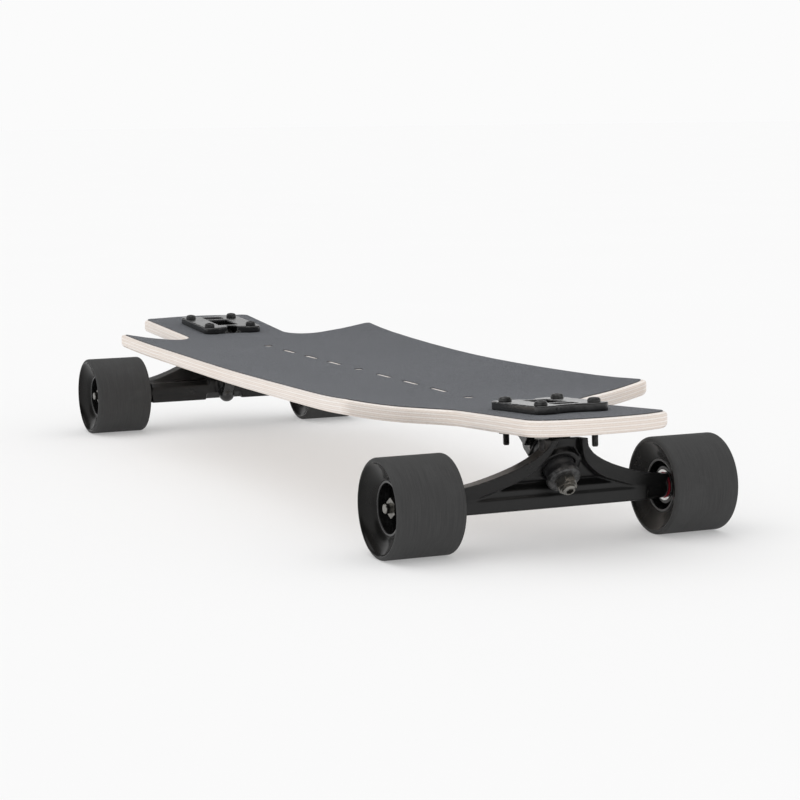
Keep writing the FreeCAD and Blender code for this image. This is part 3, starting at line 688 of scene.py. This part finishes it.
def tyre_profile(inner, outer, bore_in, bore_out, bore_r):
    """Closed half section of the urethane as (distance along the axle, radius), split by finish."""
    tread = [(inner, LIP_R + 0.6 * MM), (inner, WHEEL_R - SHOULDER)]
    for k in range(1, 7):
        turn = math.radians(90 * k / 6)
        tread.append((inner + SHOULDER * (1 - math.cos(turn)), WHEEL_R - SHOULDER * (1 - math.sin(turn))))
    for k in range(1, 12):
        tread.append((inner + SHOULDER + (outer - inner - 2 * SHOULDER) * k / 12, WHEEL_R))
    for k in range(6, -1, -1):
        turn = math.radians(90 * k / 6)
        tread.append((outer - SHOULDER * (1 - math.cos(turn)), WHEEL_R - SHOULDER * (1 - math.sin(turn))))
    tread.append((outer, 32.4 * MM))
    out_curve = ((0.3, 31.9), (1.2, 31.3), (2.2, 30.2), (4.0, 27.0), (5.6, 23.9), (7.1, 21.0))
    in_curve = ((5.0, 22.8), (3.4, 26.0), (1.7, 29.4), (0.8, 30.7), (0.2, 31.4))
    recess_out = [(outer - depth * MM, radius * MM) for depth, radius in out_curve]
    recess_out += [(bore_out, bore_r + 0.5 * MM), (bore_out - 0.2 * MM, bore_r)]
    recess_in = [(bore_in + 0.2 * MM, bore_r), (bore_in, bore_r + 0.5 * MM)]
    recess_in += [(inner + depth * MM, radius * MM) for depth, radius in in_curve]
    return tread, recess_out, recess_in


def make_tyre(end, side):
    node = f"{end}_{side}_tyre"
    core_node = f"{end}_{side}_wheel_core"
    centre, axis, inner, outer = wheel_frame(end, side, node)
    core_in, core_out = wheel_frame(end, side, core_node)[2:]
    core_low, core_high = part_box(core_node)
    core_r = (core_high[2] - core_low[2]) / 2
    tread, recess_out, recess_in = tyre_profile(inner, outer, core_in, core_out, core_r)
    bm = bmesh.new()
    turned(bm, tread, centre, axis, 144, False, 0)
    turned(bm, [tread[-1]] + recess_out + recess_in + [tread[0]], centre, axis, 144, False, 1)
    piece = add_piece(f"{end}_{side}_urethane", mesh_from(bm), [PAINTS["wheel_urethane"], FACE], 40)
    stand_for(piece, node, f"{end}_{side}_wheel")


def make_core(end, side):
    """Rim, hub and five webbed spokes, with a seat for a bearing in each side."""
    node = f"{end}_{side}_wheel_core"
    centre, axis, near, far = wheel_frame(end, side, node)
    low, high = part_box(node)
    rim_r = (high[2] - low[2]) / 2
    rim_bore = rim_r - CORE_WALL
    seat_near, seat_far = wheel_frame(end, side, f"{end}_{side}_bearing_outer_races")[2:]
    bm = bmesh.new()
    rim = rounded([(near, rim_r), (far, rim_r), (far, rim_bore), (near, rim_bore)], 0.9 * MM)
    turned(bm, rim, centre, axis, 120)
    hub_near, hub_far = seat_near + 0.3 * MM, seat_far - 0.3 * MM
    step_near, step_far = seat_near + BEARING_W, seat_far - BEARING_W
    hub = rounded([(hub_near, HUB_R), (hub_far, HUB_R), (hub_far, BEARING_R), (step_far, BEARING_R),
                   (step_far, HUB_BORE_R), (step_near, HUB_BORE_R), (step_near, BEARING_R),
                   (hub_near, BEARING_R)], 0.35 * MM, 2)
    turned(bm, hub, centre, axis, 120)
    side_dir, other = basis(axis)
    low_end, high_end = seat_near + 6 * MM, seat_far - 3.5 * MM
    spreads = ((HUB_R - 1.0 * MM, 1.7), (HUB_R + 0.8 * MM, 1.2), ((HUB_R + rim_bore) / 2, 1.0),
               (rim_bore - 0.6 * MM, 1.25), (rim_bore + 0.8 * MM, 1.8))
    corners = ((-1, 0.08), (-0.8, 0), (0.8, 0), (1, 0.08), (1, 0.92), (0.8, 1), (-0.8, 1), (-1, 0.92))
    for i in range(SPOKES):
        turn = 2 * math.pi * (i + 0.25) / SPOKES
        out_dir = side_dir * math.cos(turn) + other * math.sin(turn)
        across = axis.cross(out_dir)
        sections = []
        for radius, spread in spreads:
            sections.append([centre + out_dir * radius + across * (SPOKE_HALF * spread * cx)
                             + axis * (low_end + (high_end - low_end) * cy) for cx, cy in corners])
        made = loft(bm, sections, False)
        bm.faces.new(made[0][::-1])
        bm.faces.new(made[-1])
    piece = add_piece(f"{end}_{side}_spoked_core", mesh_from(bm), [PAINTS["core_plastic"]], 32)
    stand_for(piece, node, f"{end}_{side}_wheel")


def make_seals(end, side):
    """The pressed-in rubber seals, with the raised ring and dished middle that show from outside."""
    node = f"{end}_{side}_bearing_seals"
    centre, axis, first, last = wheel_frame(end, side, node)
    inner_r, outer_r = SEAL_INNER_R, SEAL_OUTER_R
    between = BEARING_W - 0.4 * MM
    section = ((0.15, inner_r), (0.3, inner_r + 0.5 * MM), (0.32, inner_r + 1.1 * MM),
               (0.05, inner_r + 1.5 * MM), (0.0, outer_r - 0.5 * MM), (0.12, outer_r))
    bm = bmesh.new()
    for start, outward in ((first, -1), (first + between - SEAL_T, 1), (last - between, -1),
                           (last - SEAL_T, 1)):
        face, back = (start, start + SEAL_T) if outward < 0 else (start + SEAL_T, start)
        profile = [(back, inner_r)] + [(face - outward * depth * MM, radius) for depth, radius in section]
        profile.append((back, outer_r))
        # Seals on the board's side of each wheel get the red rubber, those on the outer side the near-black
        # rubber.
        turned(bm, profile, centre, axis, 72, material=0 if start < (first + last) / 2 else 1)
    piece = add_piece(f"{end}_{side}_rubber_seals", mesh_from(bm), [PAINTS["seal_red"], BLACK_SEAL], 50)
    stand_for(piece, node, f"{end}_{side}_wheel")


def make_wheels():
    for end in ENDS:
        for side in SIDES:
            make_tyre(end, side)
            make_core(end, side)
            make_seals(end, side)


# ---------------------------------------------------------------- bushings and fasteners

def kingpin_line(end):
    """The ring's centre and the kingpin's direction, down and out, of one truck."""
    joint = JOINTS[f"{end}_steer"]
    steer = Vector(joint["axis"]).normalized()
    pin = Vector((0, 1, 0)).cross(steer) if end == "front" else steer.cross(Vector((0, 1, 0)))
    return Vector(joint["pos_m"]), pin.normalized()


def make_bushing(end, which, start, finish):
    """A barrel of urethane between a washer and the hanger's ring."""
    node = f"{end}_{which}_bushing"
    centre, pin = kingpin_line(end)
    span = finish - start
    nudge = math.copysign(0.3 * MM, span)
    wall = []
    for k in range(13):
        t = k / 12
        bulge = BUSH_R - (BUSH_R - BUSH_WAIST_R) * math.exp(-((t - 0.5) / 0.16) ** 2)
        wall.append((start + span * t, bulge))
    wall[0] = (start, BUSH_R - BUSH_CORNER)
    wall.insert(1, (start + nudge, BUSH_R - BUSH_CORNER / 3))
    wall[-1] = (finish, BUSH_R - BUSH_CORNER)
    wall.insert(-1, (finish - nudge, BUSH_R - BUSH_CORNER / 3))
    bore = [(finish - span * k / 8, BUSH_BORE_R) for k in range(8)]
    profile = [(start, BUSH_BORE_R)] + wall + bore
    bm = bmesh.new()
    turned(bm, profile, centre, pin, 72)
    piece = add_piece(f"{end}_{which}_urethane_bushing", mesh_from(bm), [PAINTS["bushing_urethane"]], 50)
    stand_for(piece, node, None)
    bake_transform(piece)


def make_bushings():
    for end in ENDS:
        make_bushing(end, "boardside", -BOARD_SEAT, -WEB_HALF)
        make_bushing(end, "roadside", ROAD_SEAT, WEB_HALF)


def threaded(bm, start, finish, centre, axis, radius, pitch, segments=28):
    """A rod with a real helical thread and a chamfered tip at finish."""
    side, other = basis(axis)
    length = abs(finish - start)
    direction = 1 if finish > start else -1
    rows = math.ceil(length / (pitch / 5))
    rings = []
    for k in range(rows + 1):
        along = length * k / rows
        taper = min(1.0, (length - along) / (0.9 * MM))
        ring = []
        for i in range(segments):
            turn = 2 * math.pi * i / segments
            phase = (along / pitch + i / segments) % 1.0
            crest = 1 - abs(2 * phase - 1)
            r = radius - pitch * 0.5 * (1 - crest) - (1 - taper) * 0.5 * MM
            ring.append(centre + axis * (start + direction * along)
                        + (side * math.cos(turn) + other * math.sin(turn)) * r)
        rings.append(ring)
    made = loft(bm, rings, False)
    bm.faces.new(made[0][::-1])
    bm.faces.new(made[-1])


def hexagon_radius(flats, turn):
    """Distance from the middle to a hexagon's edge in that direction."""
    sector = math.radians(60)
    off = (turn % sector) - sector / 2
    return flats / 2 / math.cos(off)


def button_head(bm, base, axis, segments=48):
    """A domed screw head with a hexagonal socket."""
    radius, height, socket = SCREW_HEAD_R, SCREW_HEAD_H, SOCKET_FLATS
    side, other = basis(axis)

    def ring(along, r_of):
        return [base + axis * along + (side * math.cos(t) + other * math.sin(t)) * r_of(t)
                for t in (2 * math.pi * i / segments for i in range(segments))]

    rings = [ring(0, lambda t: radius - 0.15 * MM), ring(0.15 * MM, lambda t: radius),
             ring(0.8 * MM, lambda t: radius)]
    rim = socket / 2 + 0.75 * MM
    for k in range(1, 7):
        turn = math.radians(90 * k / 6)
        r = rim + (radius - rim) * math.cos(turn)
        rings.append(ring(0.8 * MM + (height - 0.8 * MM) * math.sin(turn), lambda t, r=r: r))
    rings.append(ring(height - 0.05 * MM, lambda t: hexagon_radius(socket, t) + 0.15 * MM))
    rings.append(ring(height - 0.2 * MM, lambda t: hexagon_radius(socket, t)))
    rings.append(ring(height - SOCKET_DEPTH, lambda t: hexagon_radius(socket, t)))
    made = loft(bm, rings, False)
    bm.faces.new(made[0][::-1])
    bm.faces.new(made[-1])


def screw_places(end):
    """Each screw's tip and length, and the screws' common axis, from the CAD's own solids."""
    points = [v.co for v in frame["nodes"][f"{end}_mounting_screws"].data.vertices]
    tilt = -TRUCK_TILT * ENDS[end]
    axis = Matrix.Rotation(tilt, 3, "Y") @ Vector((0, 0, 1))
    middle_x = sum(p.x for p in points) / len(points)
    places = []
    for sx in (-1, 1):
        for sy in (-1, 1):
            group = [p for p in points if (p.x - middle_x) * sx > 0 and p.y * sy > 0]
            low = min(p.dot(axis) for p in group)
            high = max(p.dot(axis) for p in group)
            tip = [p for p in group if p.dot(axis) < low + 0.05 * MM]
            centre = sum(tip, Vector((0, 0, 0))) / len(tip)
            centre.y = (min(p.y for p in tip) + max(p.y for p in tip)) / 2
            places.append((centre, high - low))
    return places, axis


def make_screws():
    """Button-head screws through the flange, with threads that show under the deck."""
    for end in ENDS:
        bm = bmesh.new()
        places, axis = screw_places(end)
        for tip, length in places:
            base = length - SCREW_HEAD_H
            threaded(bm, base - 0.02 * MM, 0.0, tip, axis, SCREW_R, SCREW_PITCH)
            button_head(bm, tip + axis * base, axis)
        piece = add_piece(f"{end}_button_screws", mesh_from(bm), [PAINTS["black_screw"]], 32)
        stand_for(piece, f"{end}_mounting_screws", "board")


# ---------------------------------------------------------------- stage, light and camera

CAMERA_PLACE = (1.7246, -0.7379, 0.3049)
CAMERA_AZIMUTH, CAMERA_ELEVATION, CAMERA_ROLL = math.radians(65.79), math.radians(7.37), math.radians(-0.44)
SENSOR, FOCAL = 36.0, 102.47
FLOOR_TONE, FLOOR_GLOW, SURROUND = 0.60, 0.30, 0.965
OVERHEAD, OVERHEAD_SPREAD, OVERHEAD_AIM = 0.45, 60.0, (0.25, 0.35, -1.0)


def make_camera():
    back = Vector((math.sin(CAMERA_AZIMUTH) * math.cos(CAMERA_ELEVATION),
                   -math.cos(CAMERA_AZIMUTH) * math.cos(CAMERA_ELEVATION), math.sin(CAMERA_ELEVATION)))
    level = Vector((math.cos(CAMERA_AZIMUTH), math.sin(CAMERA_AZIMUTH), 0))
    upright = back.cross(level)
    right = level * math.cos(CAMERA_ROLL) + upright * math.sin(CAMERA_ROLL)
    up = upright * math.cos(CAMERA_ROLL) - level * math.sin(CAMERA_ROLL)
    data = bpy.data.cameras.new("camera")
    data.sensor_width, data.lens = SENSOR, FOCAL
    data.clip_end = 100
    camera = bpy.data.objects.new("camera", data)
    bpy.context.scene.collection.objects.link(camera)
    camera.matrix_world = Matrix((right, up, back)).transposed().to_4x4()
    camera.location = CAMERA_PLACE
    bpy.context.scene.camera = camera


def light_studio(tree, surround):
    """What glossy pieces mirror: a white cove low down, a dark room above it and a softbox overhead."""
    place = tree.nodes.new("ShaderNodeTexCoord")
    split = tree.nodes.new("ShaderNodeSeparateXYZ")
    tree.links.new(place.outputs["Generated"], split.inputs["Vector"])
    band = tree.nodes.new("ShaderNodeValToRGB")
    stops = ((0.0, 1.0), (0.22, 1.0), (0.34, 0.16), (0.62, 0.12), (0.72, 1.0))
    while len(band.color_ramp.elements) < len(stops):
        band.color_ramp.elements.new(0.5)
    for element, (position, tone) in zip(band.color_ramp.elements, stops):
        element.position = position
        element.color = grey(tone)
    tree.links.new(split.outputs["Z"], band.inputs["Fac"])
    path = tree.nodes.new("ShaderNodeLightPath")
    mix = tree.nodes.new("ShaderNodeMix")
    mix.data_type = "RGBA"
    mix.inputs[6].default_value = (1.0, 1.0, 1.0, 1)
    tree.links.new(path.outputs["Is Glossy Ray"], mix.inputs["Factor"])
    tree.links.new(band.outputs["Color"], mix.inputs[7])
    tree.links.new(mix.outputs[2], surround.inputs["Color"])


def make_stage():
    """A plain pale floor that glows a little, a white surround and one broad light from above."""
    paint = Paint("floor", 1.0, Specular_IOR_Level=0.0, Emission_Strength=FLOOR_GLOW)
    paint.shader.inputs["Emission Color"].default_value = (1.0, 1.0, 1.0, 1)
    paint.colour(paint.ramp(paint.noise(3.0, 2, 0.5), (0.0, FLOOR_TONE - 0.005), (1.0, FLOOR_TONE + 0.005)))
    bm = bmesh.new()
    bmesh.ops.create_grid(bm, x_segments=2, y_segments=2, size=30.0)
    mesh = bpy.data.meshes.new("floor")
    bm.to_mesh(mesh)
    bm.free()
    mesh.materials.append(paint.material)
    floor = bpy.data.objects.new("floor", mesh)
    bpy.context.scene.collection.objects.link(floor)
    world = bpy.data.worlds.new("studio")
    bpy.context.scene.world = world
    world.use_nodes = True
    surround = world.node_tree.nodes["Background"]
    surround.inputs["Color"].default_value = (1.0, 1.0, 1.0, 1)
    surround.inputs["Strength"].default_value = SURROUND
    light_studio(world.node_tree, surround)
    data = bpy.data.lights.new("overhead", "SUN")
    data.energy, data.angle = OVERHEAD, math.radians(OVERHEAD_SPREAD)
    light = bpy.data.objects.new("overhead", data)
    bpy.context.scene.collection.objects.link(light)
    light.rotation_euler = Vector(OVERHEAD_AIM).to_track_quat("-Z", "Y").to_euler()
    bpy.context.scene.view_settings.view_transform = "Standard"


paint_cad_nodes()
make_deck()
make_castings()
make_wheels()
make_bushings()
make_screws()
make_camera()
make_stage()
